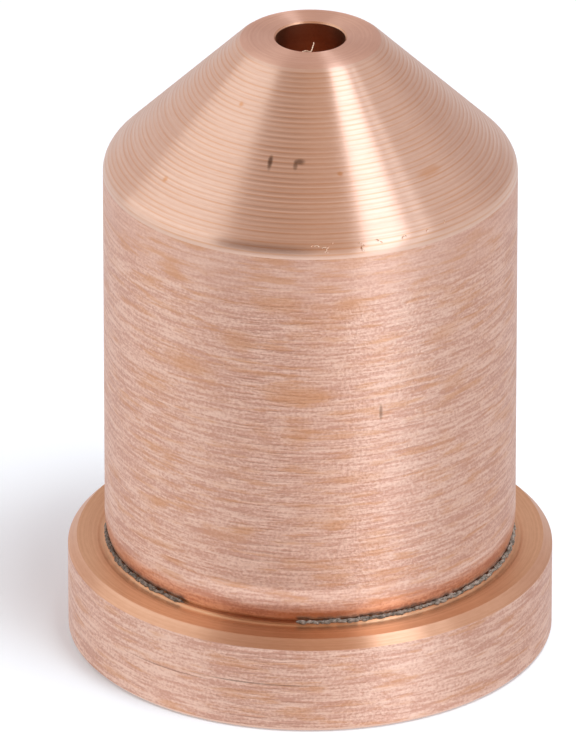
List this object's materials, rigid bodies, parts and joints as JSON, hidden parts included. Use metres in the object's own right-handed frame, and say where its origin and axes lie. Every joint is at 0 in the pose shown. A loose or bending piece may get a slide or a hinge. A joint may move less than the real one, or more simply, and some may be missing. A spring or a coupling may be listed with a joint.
{
  "type": "plasma torch nozzle",
  "caption": "Turned copper plasma torch nozzle with a round foot flange, a plain cylindrical body, a conical nose and a central orifice.",
  "frame": {"origin": "centre of the flange's underside, which the nozzle stands on", "axes": "+Z along the bore, from the flange to the tip; X and Y lie in the base face"},
  "size_m": [0.0188, 0.0188, 0.0252],
  "materials": {
    "copper": "satin"
  },
  "bodies": {
    "root": {"nozzle": "copper"}
  },
  "joints": []
}
